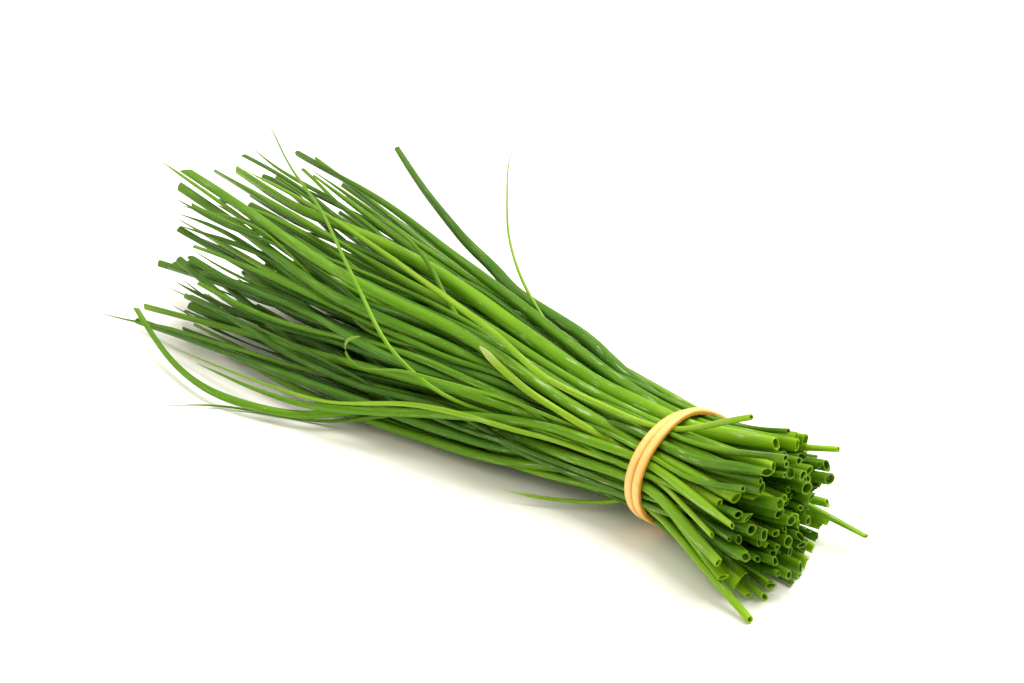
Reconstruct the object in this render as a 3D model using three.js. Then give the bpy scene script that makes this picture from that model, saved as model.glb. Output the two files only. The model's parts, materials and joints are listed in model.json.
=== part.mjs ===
// A bunch of fresh chives, held by one rubber band wound twice round it, lying on its side.
// Millimetres, +Z up. X runs along the bunch: the cut ends point to +X and the leaf tips to -X.
// While the bunch is laid out, x = 0 is at the band and z = 0 is the table. The finished group is then
// moved so that its origin is the middle of the bottom of its bounding box.
//
// Each leaf is a hollow tube, here a closed solid with a blind bore at its cut end. The whole bunch of
// LEAF_COUNT leaves is laid out, so that every leaf has its own room, and SOLID_LEAVES of them are built.

import * as THREE from "three";

// ---- Driving dimensions ----

const LEAF_COUNT = 95;
const SOLID_LEAVES = 59;
const LEAF_RADIUS = 1.3; // of a middling leaf
const LEAF_GAP = 0.2;
const WALL = 0.5;
const BORE_DEPTH = 6;
const LEAF_SIDES = 6;

const WAIST = { halfWidth: 14.8, halfHeight: 11.8 }; // half of the room inside the band
const WAIST_PINCH = 0.22; // share of a leaf's width that the band squeezes out
const FOOT_TAPER = 0.2; // share of its width that a leaf has lost at its cut end, which is near its root
const BLUNT_TAPER = 0.36; // and that a blunt one has lost at its tip
const PINCH_REACH = { towardsCut: 15, towardsTip: 40 };
const HELD_REACH = 4; // how far each side of x = 0 the band holds the leaves tight
const NECK_REACH = 26; // and how far it still gathers them
const CUT_SPLAY = { sideways: 0.22, upwards: 0.185, bend: 6 };
const TIP_SPLAY = { sideways: 0.16, upwards: 0.043, bend: 30 };
const SLUMP = 2.5; // how much squarer than an ellipse the underside is, 30 past the band

// windingOffset is how far each winding lies from x = 0, and at crossingClock one rises over the other.
// Round RIDE.clock the winding on the cut side rides up on the other one's edge.
const BAND = { width: 2.05, thickness: 1.3, windingOffset: 1.1, crossingLift: 1.4, crossingClock: 205 };
const RIDE = { clock: 100, reach: 38, lift: 1.13, inward: 0.42 };
const BAND_CENTRE_Z = WAIST.halfHeight + LEAF_GAP + BAND.thickness; // the band touches the table

// Where every leaf has a ring of corners. They are close together at the band, where the leaves bend most.
const STATIONS = [30, 21, 12, HELD_REACH, -HELD_REACH, -13, -26, -42, -60, -80, -102, -126, -151, -175];
const RING_SPACING = 5; // no two rings of a leaf are closer than this

const SEED = 20;

// ---- Numbers drawn in a fixed order from a seed ----

function seededRandom(seed) {
  let state = seed;
  return () => {
    state = (state + 0x6d2b79f5) | 0;
    let t = Math.imul(state ^ (state >>> 15), 1 | state);
    t = (t + Math.imul(t ^ (t >>> 7), 61 | t)) ^ t;
    return ((t ^ (t >>> 14)) >>> 0) / 4294967296;
  };
}
const random = seededRandom(SEED);
const between = (low, high) => low + (high - low) * random();
const bell = () => random() + random() + random() - 1.5; // about -1.5 to 1.5, mostly near 0

// ---- The shape of the bunch ----

// Half width, half height and mid height at x, between the centre lines of the outermost leaves. Those bend
// over a short way beside the band and then run straight.
function girth(x) {
  const splay = x > 0 ? CUT_SPLAY : TIP_SPLAY;
  const spread = Math.hypot(x, splay.bend) - splay.bend;
  const halfWidth = WAIST.halfWidth - LEAF_RADIUS + splay.sideways * spread;
  const halfHeight = WAIST.halfHeight - LEAF_RADIUS + splay.upwards * spread;
  return { halfWidth, halfHeight, midZ: Math.max(halfHeight + LEAF_RADIUS, BAND_CENTRE_Z) };
}

// A place round the bunch. clock is in degrees: 0 is the near side (-Y), 90 the top, 180 the far side
// and 270 the underside. depth is 1 at the outermost leaves and 0 at the middle. The underside of the cut
// end has slumped flat on the table, so its section is squarer than an ellipse.
function placeAt(x, clock, depth) {
  const { halfWidth, halfHeight, midZ } = girth(x);
  const a = THREE.MathUtils.degToRad(clock);
  const [across, up] = [-Math.cos(a), Math.sin(a)];
  const squareness = x > 0 && up < 0 ? 2 + SLUMP * (x / 30) : 2;
  const fill = 1 / (Math.abs(across) ** squareness + Math.abs(up) ** squareness) ** (1 / squareness);
  return [x, across * fill * depth * halfWidth, midZ + up * fill * depth * halfHeight];
}

// ---- Leaves with a course of their own ----
// clock and depth say where the leaf passes the band, d is its width where it is fullest, cut is its cut
// end, and route runs from the band out to its tip. A blunt tip has been trimmed, and a pointed one has
// grown so. A loose leaf is held by the band only, and not by its neighbours beside the band. foot and taper
// are for a leaf that narrows more than others do at its cut end or at its blunt tip.

const OWN_COURSE = [
  // Along the top, from the far side to the near side.
  { name: "leaf_far_stray", d: 3.7, clock: 116, cut: [24, 9, 27], green: "dark", tip: "blunt",
    route: [[-43, 14, 27.5], [-69, 16.3, 28.5], [-80.5, 19.8, 29.5], [-94, 22.5, 31.5], [-121.5, 32.3, 34.5],
      [-142, 41.3, 36.8]] },
  { name: "leaf_flared_tip", d: 3.4, clock: 101, cut: [27, 5, 27], green: "mid", tip: "blunt",
    route: [[-39, 5, 28], [-63, 9, 30], [-91, 13, 32], [-121, 19, 33], [-163, 24, 33]] },
  { name: "leaf_thickest", d: 4.3, foot: 0.36, clock: 84, cut: [25, 0, 28], green: "light", tip: "blunt",
    route: [[-32, -3, 28], [-54, 0, 29], [-88, 5, 30], [-118, 6, 30], [-140, 6, 29], [-175, 12, 28]] },
  { name: "leaf_top_4", d: 3.3, clock: 69, cut: [29, -5, 26], green: "mid", tip: "blunt",
    route: [[-34, -8, 27], [-62, -5, 28], [-95, -4, 29], [-171, 1, 31]] },
  { name: "leaf_top_5", d: 2.8, clock: 60, cut: [22, -9, 25], green: "mid", tip: "pointed",
    route: [[-34, -12, 27], [-60, -10, 27], [-92, -10, 27], [-150, -1, 27]] },
  { name: "leaf_lifted_end", d: 1.6, clock: 62, cut: [20.6, -2.6, 33], green: "pale", tip: "pointed",
    loose: true, route: [[-30, -14, 28], [-49, -10, 30], [-74, -6, 31.5], [-102, -1, 32], [-139, 5, 32],
      [-166, 8, 31]] },
  { name: "leaf_upper_7", d: 3.4, clock: 43, cut: [27, -13, 22], green: "mid", tip: "blunt",
    route: [[-40, -15, 28], [-63, -14, 29], [-87, -17, 31], [-111, -15, 31], [-142, -10, 31],
      [-176, -5, 31]] },
  { name: "leaf_pale_end", d: 2.2, clock: 34, cut: [24, -17, 22], green: "pale", tip: "blunt",
    route: [[-20, -18, 25], [-33, -19, 28], [-51, -16.5, 32.5]] },
  { name: "leaf_near_bright", d: 2.9, clock: 25, cut: [31, -18, 18], green: "light", tip: "pointed",
    route: [[-25, -17, 17], [-43, -20, 14], [-58, -22, 10], [-90, -34, 5], [-128, -37, 3]] },
  { name: "leaf_near_yellow", d: 1.9, clock: 16, cut: [26, -20, 15], green: "pale", tip: "pointed",
    route: [[-34, -19, 18], [-59, -25, 16], [-82, -32, 10], [-117, -34, 5.5], [-145, -34, 3]] },
  { name: "leaf_arched", d: 3.3, taper: 0.5, clock: 6, cut: [29, -20, 10], green: "mid", tip: "blunt",
    route: [[-48, -16, 9], [-70, -21, 8], [-89, -36.5, 3.5], [-112, -44, 2.8], [-131, -42.5, 3],
      [-147, -38.5, 5], [-157, -36, 8]] },
  { name: "leaf_near_low", d: 2.8, clock: -5, cut: [29, -19.5, 5], green: "mid", tip: "pointed",
    route: [[-40, -19, 6], [-88, -27, 4], [-140, -27, 3]] },
  { name: "leaf_near_under", d: 2.1, clock: -18, cut: [39, -20.8, 2.4], green: "light", tip: "blunt",
    loose: true, route: [[-30, -15, 6], [-80, -20, 2.5], [-150, -22, 2.5]] },
  { name: "leaf_loose_wisp", d: 1.4, clock: -42, cut: [27, -13, 4], green: "pale", tip: "pointed",
    loose: true, route: [[-15, -13.5, 2.5], [-24.4, -19.7, 2.2], [-34, -25.4, 2.8]] },
  // From deeper in the bunch, coming out between those above.
  { name: "leaf_crossing", d: 1.5, clock: 20, depth: 0.72, cut: [28, -13, 19], green: "light", tip: "pointed",
    route: [[-55, -24, 20], [-68, -27, 27], [-84, -22, 34], [-104, -12, 36], [-126, 0, 36], [-150, 10, 37],
      [-176, 23, 39]] },
  { name: "leaf_upper_short", d: 1.8, clock: 70, depth: 0.72, cut: [26, -8, 21], green: "light",
    tip: "pointed", route: [[-56, -10, 25], [-72, -6, 30], [-84, -1, 34], [-97, 4, 35], [-122, 10, 34]] },
  { name: "leaf_curled_tip", d: 1.5, clock: 30, depth: 0.74, cut: [25, -14, 17], green: "light",
    tip: "pointed", route: [[-37, -20, 23], [-52, -26, 24], [-63.5, -28, 23], [-72, -28, 20.2],
      [-78.7, -28, 18.6]] },
  { name: "leaf_wisp_back", d: 1.4, clock: 112, depth: 0.72, cut: [27, 6, 22], green: "pale", tip: "pointed",
    route: [[-50, 9, 25], [-62, 12, 30], [-78, 21, 35], [-93, 34, 39], [-105, 46, 42], [-113, 57, 43]] },
  { name: "leaf_ground_wisp", d: 1.4, clock: 0, depth: 0.74, cut: [31, -14, 10], green: "mid", tip: "pointed",
    route: [[-70, -24, 7], [-88, -31, 1.6], [-112, -44, 1.2], [-122, -55, 1.2]] },
  { name: "leaf_far_left_wisp", d: 1.8, clock: 8, depth: 0.48, cut: [32, -9, 12], green: "mid", tip: "pointed",
    route: [[-60, -18, 12], [-102, -26.5, 8.5], [-121, -29.5, 7.5], [-134, -31, 6.3], [-149, -32.5, 5],
      [-157, -35.8, 4.6], [-167, -39.9, 5]] },
  { name: "leaf_near_flat", d: 3.0, clock: 26, depth: 0.72, cut: [30, -9, 14], green: "light", tip: "blunt",
    route: [[-51, -22, 18], [-88, -24, 13], [-120, -25, 9], [-160, -31, 5.5]] },
  { name: "leaf_near_dark", d: 2.9, clock: -14, depth: 0.7, cut: [30, -13, 4], green: "dark", tip: "blunt",
    route: [[-60, -22, 9], [-98, -28, 7.5], [-132, -29, 4.5], [-161, -31, 2.2]] },
  { name: "leaf_low_tip", d: 3.0, clock: 42, depth: 0.5, cut: [31, -5, 17], green: "dark", tip: "blunt",
    route: [[-89, -16, 18], [-144, -12, 11], [-179, -11, 6]] },
  { name: "leaf_upper_8", d: 3.2, clock: 52, depth: 0.72, cut: [32, -8, 20], green: "mid", tip: "blunt",
    route: [[-62, -16, 26], [-100, -19, 27], [-140, -12, 27.5], [-175, -7, 28]] },
  { name: "leaf_upper_9", d: 2.2, clock: 60, depth: 0.5, cut: [30, -3, 19], green: "light", tip: "pointed",
    route: [[-80, -10, 23], [-113, -13, 27], [-150, -9, 30], [-181, -8, 34]] },
  { name: "leaf_upper_11", d: 2.8, clock: 45, depth: 0.45, cut: [33, -5, 16], green: "light", tip: "blunt",
    route: [[-70, -13, 22], [-113, -16, 23], [-141, -13, 22], [-171, -10, 21]] },
  { name: "leaf_upper_10", d: 2.9, clock: 35, depth: 0.3, cut: [32, -2, 16], green: "dark", tip: "blunt",
    route: [[-80, -12, 19], [-120, -15, 20], [-170, -12, 20]] },
  { name: "leaf_far_long_end", d: 2.0, clock: 190, depth: 0.72, cut: [37, 19, 3.5], green: "mid",
    tip: "pointed", loose: true, route: [[-60, 13, 9], [-150, 22, 8]] },
  { name: "leaf_far_high_end", d: 1.9, clock: 150, depth: 0.74, cut: [32, 13, 25], green: "light",
    tip: "pointed", route: [[-60, 14, 20], [-140, 24, 24]] },
];

// ---- The other leaves ----
// Their courses follow the girth of the bunch, each with a lean and a bow of its own.

const OUTER = { count: 20, firstClock: 131, lastClock: 322 }; // those on the far side and underneath
const INNER_DEPTH = 0.8;
const GOLDEN_ANGLE = 137.508;
const GREENS = ["dark", "mid", "mid", "mid", "light", "dark", "mid", "light"];

// In a push between two leaves, the one that holds its course less is moved more.
const OWN_GIVE = 0.2;
const PLAIN_GIVE = 1;

const COMMON_TAPERS = { foot: FOOT_TAPER, taper: BLUNT_TAPER };

const numbered = (kind, i) => `leaf_${kind}_${String(i + 1).padStart(2, "0")}`;

function plainLeaf(name, clock, depth) {
  const d = between(0.95, 1.7) + between(0.95, 1.7);
  // The ends that splay to either side fall short of those in the middle and underneath, and most so on the
  // far side.
  const a = THREE.MathUtils.degToRad(clock);
  const short = 5 * Math.cos(a) ** 2 + 6.5 * Math.max(0, -Math.cos(a)) + 1.5 * Math.sin(a);
  const cutX = 32.5 - depth ** 2 * short + 2.6 * bell();
  const tipX = -152 + 12 * bell();
  const cut = placeAt(cutX, clock + 7 * bell(), Math.min(depth * 1.02 + 0.06 * bell(), 1));
  const middle = placeAt(-75, clock + 10 * bell(), Math.min(depth + 0.12 * bell(), 1));
  const tip = placeAt(tipX, clock + 16 * bell(), Math.min(depth + 0.22 * bell(), 1.12));
  return {
    name, d, clock, depth, cut,
    ...COMMON_TAPERS,
    give: PLAIN_GIVE,
    route: [middle, tip],
    green: GREENS[Math.floor(random() * GREENS.length)],
    tip: random() < 0.7 ? "blunt" : "pointed",
  };
}

function allLeaves() {
  const own = OWN_COURSE.map((leaf) => ({ depth: 1, give: OWN_GIVE, ...COMMON_TAPERS, ...leaf }));
  const outer = Array.from({ length: OUTER.count }, (_, i) => {
    const clock = THREE.MathUtils.lerp(OUTER.firstClock, OUTER.lastClock, i / (OUTER.count - 1));
    return plainLeaf(numbered("outer", i), clock, 1);
  });
  // Inner places spread evenly over the section, as seeds are in a sunflower.
  const innerCount = LEAF_COUNT - own.length - outer.length;
  const inner = Array.from({ length: innerCount }, (_, i) => {
    const depth = INNER_DEPTH * Math.sqrt((i + 0.5) / innerCount);
    return plainLeaf(numbered("inner", i), i * GOLDEN_ANGLE, depth);
  });
  return { own, outer, inner };
}

// Half the leaf's width at x: pinched at the band, narrower at the cut end, and tapering to the tip.
function radiusAt(leaf, x) {
  const reach = x > 0 ? PINCH_REACH.towardsCut : PINCH_REACH.towardsTip;
  const pinch = 1 - WAIST_PINCH * Math.exp(-((x / reach) ** 2));
  const out = Math.max(0, x / leaf.tipX);
  const taper = leaf.tip === "blunt" ? 1 - leaf.taper * out ** 2 : 1 - 0.3 * out - 0.45 * out ** 6;
  const foot = 1 - leaf.foot * Math.max(0, x / leaf.cut[0]) ** 2;
  return (leaf.d / 2) * pinch * taper * foot;
}

// ---- Settling: the leaves are pushed apart until none overlap ----
// Each leaf is a chain of points, one at each station that it reaches, and one at each end.

function makeChain(leaf) {
  const underBand = [HELD_REACH - 1, 1 - HELD_REACH].map((x) => placeAt(x, leaf.clock, leaf.depth));
  const drawn = [leaf.cut, ...underBand, ...leaf.route].map((p) => new THREE.Vector3(...p));
  const line = new THREE.CatmullRomCurve3(drawn, false, "centripetal").getSpacedPoints(400);
  const along = (x) => {
    const i = Math.max(1, line.findIndex((p) => p.x <= x));
    const [a, b] = [line[i - 1], line[i]];
    return new THREE.Vector3().lerpVectors(a, b, (a.x - x) / (a.x - b.x));
  };
  const tipPoint = leaf.route[leaf.route.length - 1];
  leaf.tipX = tipPoint[0];
  const turns = leaf.route.slice(0, -1).map((p) => p[0]);
  const clear = STATIONS.filter((x) => turns.every((t) => Math.abs(t - x) > RING_SPACING));
  const inside = (leaf.give === OWN_GIVE ? [...clear, ...turns] : [...STATIONS])
    .filter((x) => x < leaf.cut[0] - BORE_DEPTH - 1 && x > leaf.tipX + RING_SPACING)
    .sort((a, b) => b - a);
  leaf.chain = [leaf.cut[0], ...inside, leaf.tipX].map((x, i, all) => {
    const p = i === 0 ? drawn[0].clone() : i === all.length - 1 ? new THREE.Vector3(...tipPoint) : along(x);
    return { x, y: p.y, z: p.z, homeY: p.y, homeZ: p.z, r: radiusAt(leaf, x) };
  });
}

// The leaf's middle and half width at any x that it reaches, straight between its points.
function sampleChain(chain, x) {
  let i = 1;
  while (i < chain.length - 1 && chain[i].x > x) i++;
  const [a, b] = [chain[i - 1], chain[i]];
  const t = (a.x - x) / (a.x - b.x);
  const mix = (key) => a[key] + (b[key] - a[key]) * t;
  const slope = [(b.y - a.y) / (b.x - a.x), (b.z - a.z) / (b.x - a.x)];
  return { i, t, y: mix("y"), z: mix("z"), r: mix("r"), slope };
}

// Moves a sampled place by dy, dz, by moving the two points that it lies between.
function nudge(chain, at, dy, dz) {
  const [a, b] = [chain[at.i - 1], chain[at.i]];
  const scale = 1 / ((1 - at.t) ** 2 + at.t ** 2);
  a.y += dy * (1 - at.t) * scale;
  a.z += dz * (1 - at.t) * scale;
  b.y += dy * at.t * scale;
  b.z += dz * at.t * scale;
}

const PUSH = 0.5; // share of an overlap that one push undoes
const END_ROOM = 2.5; // a leaf counts as this much longer at each end, so that none brushes past its end

function pushApart(leaves, x) {
  const here = leaves
    .filter((leaf) => leaf.cut[0] + END_ROOM >= x && leaf.tipX - END_ROOM <= x)
    .map((leaf) => ({ leaf, at: sampleChain(leaf.chain, x), dy: 0, dz: 0 }));
  for (let i = 0; i < here.length; i++) {
    for (let j = i + 1; j < here.length; j++) {
      const [p, q] = [here[i], here[j]];
      const need = p.at.r + q.at.r + LEAF_GAP;
      const [dy, dz] = [q.at.y - p.at.y, q.at.z - p.at.z];
      if (Math.abs(dy) > 2 * need || Math.abs(dz) > 2 * need) continue;
      const flat = Math.hypot(dy, dz) || 0.001;
      // A slanting leaf's section is longer than its width, so the square distance is what counts.
      const [sy, sz] = [(p.at.slope[0] + q.at.slope[0]) / 2, (p.at.slope[1] + q.at.slope[1]) / 2];
      const lengthwise = (dy * sy + dz * sz) / (flat * Math.sqrt(1 + sy * sy + sz * sz));
      const distance = flat * Math.sqrt(1 - lengthwise ** 2);
      if (distance >= need) continue;
      const push = ((need - distance) * PUSH) / flat;
      const share = p.leaf.give / (p.leaf.give + q.leaf.give);
      p.dy -= dy * push * share;
      p.dz -= dz * push * share;
      q.dy += dy * push * (1 - share);
      q.dz += dz * push * (1 - share);
    }
  }
  for (const { leaf, at, dy, dz } of here) nudge(leaf.chain, at, dy, dz);
}

// The band holds the leaves in, and the table holds them up. Beside the band they may bulge a little.
const BULGE = { cutSide: 1.12, tipSide: 1.05 };

function confine(leaf) {
  const reach = leaf.loose ? HELD_REACH : NECK_REACH;
  for (const p of leaf.chain) {
    if (Math.abs(p.x) <= reach) {
      const { halfWidth, halfHeight, midZ } = girth(p.x);
      const a = halfWidth + LEAF_RADIUS - p.r;
      const b = halfHeight + LEAF_RADIUS - p.r;
      const bulge = Math.abs(p.x) <= HELD_REACH ? 1 : p.x > 0 ? BULGE.cutSide : BULGE.tipSide;
      const out = Math.hypot(p.y / a, (p.z - midZ) / b) / bulge;
      if (out > 1) {
        p.y /= out;
        p.z = midZ + (p.z - midZ) / out;
      }
    }
    p.z = Math.max(p.z, p.r);
  }
}

// Spreads each push along the leaf, because a leaf bends smoothly, and draws the leaf back to its course.
function stiffen(leaf, smoothing, recall) {
  const shift = leaf.chain.map((p) => [p.y - p.homeY, p.z - p.homeZ]);
  leaf.chain.forEach((p, i) => {
    const [before, after] = [shift[Math.max(i - 1, 0)], shift[Math.min(i + 1, shift.length - 1)]];
    const even = [0, 1].map((k) => shift[i][k] * (1 - smoothing) + ((before[k] + after[k]) / 2) * smoothing);
    p.y = p.homeY + even[0] * (1 - recall);
    p.z = p.homeZ + even[1] * (1 - recall);
  });
}

const ROUNDS = 480;
const TEST_SPACING = 3;
const TEST_PLACES = Array.from({ length: 75 }, (_, i) => 39 - i * TEST_SPACING).concat(STATIONS);

// The leaves are stiff at first and give way more and more, so that the last rounds only part what overlaps.
function settle(leaves) {
  leaves.forEach(makeChain);
  for (let round = 0; round < ROUNDS; round++) {
    const early = 1 - round / ROUNDS;
    for (const leaf of leaves) stiffen(leaf, 0.4 * early, 0.02 * early ** 3);
    for (const x of TEST_PLACES) pushApart(leaves, x);
    leaves.forEach(confine);
  }
}

// ---- Solids ----

const COLOURS = { dark: 0x2f6b2c, mid: 0x4d9427, light: 0x7fb733, pale: 0xa6c552, rubber: 0xe9ad62 };
const matte = (color, roughness) => new THREE.MeshStandardMaterial({ color, roughness, metalness: 0 });
const LEAF_MATERIALS = {
  dark: matte(COLOURS.dark, 0.4),
  mid: matte(COLOURS.mid, 0.4),
  light: matte(COLOURS.light, 0.42),
  pale: matte(COLOURS.pale, 0.5),
};

// A leaf is turned as a straight tube whose rings stand for the points of its chain, then each ring is
// carried to its place and turned square to the leaf.
function leafMesh(leaf) {
  const chain = [...leaf.chain].reverse(); // from the tip to the cut end
  const points = chain.map((p) => new THREE.Vector3(p.x, p.y, p.z));
  const direction = points.map((_, i) => {
    const [a, b] = [points[Math.max(i - 1, 0)], points[Math.min(i + 1, points.length - 1)]];
    return new THREE.Vector3().subVectors(b, a).normalize();
  });
  const last = points.length - 1;
  const bore = chain[last].r - WALL;
  // Heights in the straight tube are ring numbers. Past the last ring, the bore runs back inside.
  const profile = [new THREE.Vector2(0, 0), ...chain.map((p, i) => new THREE.Vector2(p.r, i))];
  const bored = bore > 0.3;
  if (bored) profile.push(new THREE.Vector2(bore, last + 1), new THREE.Vector2(bore, last + 2));
  profile.push(new THREE.Vector2(0, bored ? last + 2 : last));
  const geometry = new THREE.LatheGeometry(profile, LEAF_SIDES, Math.PI / 6); // a corner faces down
  const position = geometry.getAttribute("position");
  for (let v = 0; v < position.count; v++) {
    const ring = Math.round(position.getY(v));
    const at = Math.min(ring, last);
    const centre = points[at].clone();
    if (ring === last + 2) centre.addScaledVector(direction[last], -BORE_DEPTH);
    const side = new THREE.Vector3(0, 1, 0).cross(direction[at]).normalize();
    const other = new THREE.Vector3().crossVectors(direction[at], side);
    centre.addScaledVector(side, position.getX(v)).addScaledVector(other, -position.getZ(v));
    position.setXYZ(v, centre.x, centre.y, centre.z);
  }
  geometry.computeVertexNormals();
  const mesh = new THREE.Mesh(geometry, LEAF_MATERIALS[leaf.green]);
  mesh.name = leaf.name;
  return mesh;
}

// One endless rubber band, wound twice. In its length it goes round the bunch twice and changes sides twice,
// both times at the crossing, where it is first the upper winding and then the lower. So the two windings
// lie on each other for a stretch there, and beside each other everywhere else, but for the top of the bunch,
// where one has ridden up a little on the other.
const BAND_STEPS = 112;
const BAND_SIDES = 8;
// How far round the change of sides and the lift extend.
const CROSSING = { sideReach: 0.2, liftReach: 0.03 };

function bandMesh() {
  const geometry = new THREE.PlaneGeometry(1, 1, BAND_STEPS, BAND_SIDES);
  const uv = geometry.getAttribute("uv");
  const position = geometry.getAttribute("position");
  const crossing = THREE.MathUtils.degToRad(BAND.crossingClock);
  for (let v = 0; v < position.count; v++) {
    const turn = 4 * Math.PI * (uv.getX(v) % 1);
    const around = 2 * Math.PI * (uv.getY(v) % 1);
    // A rounded oblong section: a circle drawn out towards the corners.
    const corner = 1 / Math.pow(Math.cos(around) ** 4 + Math.sin(around) ** 4, 0.25);
    const side = (-Math.sin(turn / 2) / CROSSING.sideReach) ** 3;
    const clock = crossing + turn;
    const fromRide = 2 * Math.sin((clock - THREE.MathUtils.degToRad(RIDE.clock)) / 2);
    const ride = side > 0 ? Math.exp(-((fromRide / THREE.MathUtils.degToRad(RIDE.reach)) ** 2)) : 0;
    const middle = (BAND.windingOffset * side) / Math.hypot(side, 1) - RIDE.inward * ride ** 2;
    const crossingLift = BAND.crossingLift / (1 + (Math.sin(turn / 4) ** 2 / CROSSING.liftReach) ** 3);
    const lift = crossingLift + RIDE.lift * ride;
    const across = middle + (BAND.width / 2) * Math.cos(around) * corner;
    const out = LEAF_GAP + lift + (BAND.thickness / 2) * (1 + Math.sin(around) * corner);
    position.setXYZ(
      v,
      across,
      -Math.cos(clock) * (WAIST.halfWidth + out),
      BAND_CENTRE_Z + Math.sin(clock) * (WAIST.halfHeight + out),
    );
  }
  geometry.computeVertexNormals();
  const mesh = new THREE.Mesh(geometry, matte(COLOURS.rubber, 0.55));
  mesh.name = "rubber_band";
  return mesh;
}

// ---- The bunch ----

const { own, outer, inner } = allLeaves();
settle([...own, ...outer, ...inner]);

// Every leaf with a course of its own is built, and every outer one, and then inner ones up to the limit.
const innerBuilt = SOLID_LEAVES - own.length - outer.length;
const built = [
  ...own,
  ...outer,
  ...Array.from({ length: innerBuilt }, (_, i) => inner[Math.floor((i * inner.length) / innerBuilt)]),
];

const bunch = new THREE.Group();
bunch.add(bandMesh(), ...built.map(leafMesh));
const box = new THREE.Box3().setFromObject(bunch);
const middle = box.getCenter(new THREE.Vector3());
bunch.position.set(-middle.x, -middle.y, -box.min.z);

export default bunch;
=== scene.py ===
"""A bunch of fresh chives, held by one rubber band wound twice round it, lying on its side.

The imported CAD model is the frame. Its leaves have a few flat sides, and here each gives its line, and a
share of its width, to a finely shaped leaf that stands for it. The heart of the bunch has more leaves, which
are only here. X runs along the bunch: the cut ends point to +X and the tips to -X. Lengths are in millimetres
until a mesh is made, and MM turns them into Blender's metres.
"""

import json

import bmesh
import bpy
import numpy as np
from mathutils import Matrix, Vector


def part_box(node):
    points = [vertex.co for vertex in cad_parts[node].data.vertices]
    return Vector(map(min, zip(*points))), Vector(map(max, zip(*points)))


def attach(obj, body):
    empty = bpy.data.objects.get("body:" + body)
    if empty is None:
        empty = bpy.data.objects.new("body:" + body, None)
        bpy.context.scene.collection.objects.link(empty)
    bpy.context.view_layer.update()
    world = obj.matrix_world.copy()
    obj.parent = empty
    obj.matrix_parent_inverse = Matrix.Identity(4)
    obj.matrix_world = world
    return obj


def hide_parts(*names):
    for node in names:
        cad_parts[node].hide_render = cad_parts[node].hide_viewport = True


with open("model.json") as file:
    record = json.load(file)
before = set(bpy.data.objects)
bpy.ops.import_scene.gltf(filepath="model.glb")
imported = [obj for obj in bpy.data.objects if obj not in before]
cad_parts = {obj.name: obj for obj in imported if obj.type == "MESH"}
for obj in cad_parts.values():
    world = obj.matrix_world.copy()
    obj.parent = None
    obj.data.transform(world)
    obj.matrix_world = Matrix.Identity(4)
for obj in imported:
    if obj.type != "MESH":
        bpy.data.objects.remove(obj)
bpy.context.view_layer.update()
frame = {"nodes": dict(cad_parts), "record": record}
MM = 0.001

# ======================================================================================================
# The line of each leaf
# A chive leaf is a tube that bends gently. Its solid in the frame is a row of six-cornered rings, from
# the tip to the cut end, and the middle line runs through the middles of those rings.
# ======================================================================================================

leaf_nodes = sorted(name for name in frame["nodes"] if name.startswith("leaf_"))


def solid_rings(node):
    """The middles (n x 3) and half widths (n) of the rings of a leaf's solid, from the tip to the cut end.

    Corners are numbered by how many edges lead to them from the one in the middle of the tip, so a ring is
    all the corners with one number. The rings inside the bore come after the cut end and are left off.
    """
    copy = bmesh.new()
    copy.from_mesh(frame["nodes"][node].data)
    bmesh.ops.remove_doubles(copy, verts=copy.verts, dist=0.01 * MM)
    merged = bpy.data.meshes.new("merged")
    copy.to_mesh(merged)
    copy.free()
    corners = np.empty(3 * len(merged.vertices))
    edges = np.empty(2 * len(merged.edges), int)
    merged.vertices.foreach_get("co", corners)
    merged.edges.foreach_get("vertices", edges)
    bpy.data.meshes.remove(merged)
    corners = corners.reshape(-1, 3) / MM
    edges = edges.reshape(-1, 2)

    def steps_from(first):
        steps = np.full(len(corners), -1)
        steps[first] = 0
        while (steps < 0).any():
            newest = steps.max()
            reaching = edges[(steps[edges] == newest).any(1)]
            steps[reaching[steps[reaching] < 0]] = newest + 1
        return steps

    one_end = steps_from(0).argmax()
    other_end = steps_from(one_end).argmax()
    tip = min(one_end, other_end, key=lambda corner: corners[corner, 0])
    steps = steps_from(tip)
    rings = [corners[steps == number] for number in range(1, steps.max())]
    middles = np.array([ring.mean(0) for ring in rings])
    half_widths = np.array([np.linalg.norm(ring - ring.mean(0), axis=1).mean() for ring in rings])
    cut = middles[:, 0].round(3).argmax()
    return middles[: cut + 1], half_widths[: cut + 1]


def smooth_through(places, values, at):
    """Values at new places, on a smooth curve through given values at given places.

    Between two places the curve is a cubic, and its slope at each is that of the parabola through the value
    there and its two neighbours.
    """
    step = np.diff(places)[:, None]
    rise = np.diff(values, axis=0) / step
    middle = (rise[:-1] * step[1:] + rise[1:] * step[:-1]) / (step[1:] + step[:-1])
    slope = np.concatenate([rise[:1], middle, rise[-1:]])
    i = np.clip(np.searchsorted(places, at, "right") - 1, 0, len(step) - 1)
    h = step[i]
    t = (at - places[i])[:, None] / h
    a, b, start, end = values[i], values[i + 1], h * slope[i], h * slope[i + 1]
    return a + t * (start + t * (3 * (b - a) - 2 * start - end + t * (2 * (a - b) + start + end)))


LINE_POINTS = 240  # along each middle line


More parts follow.
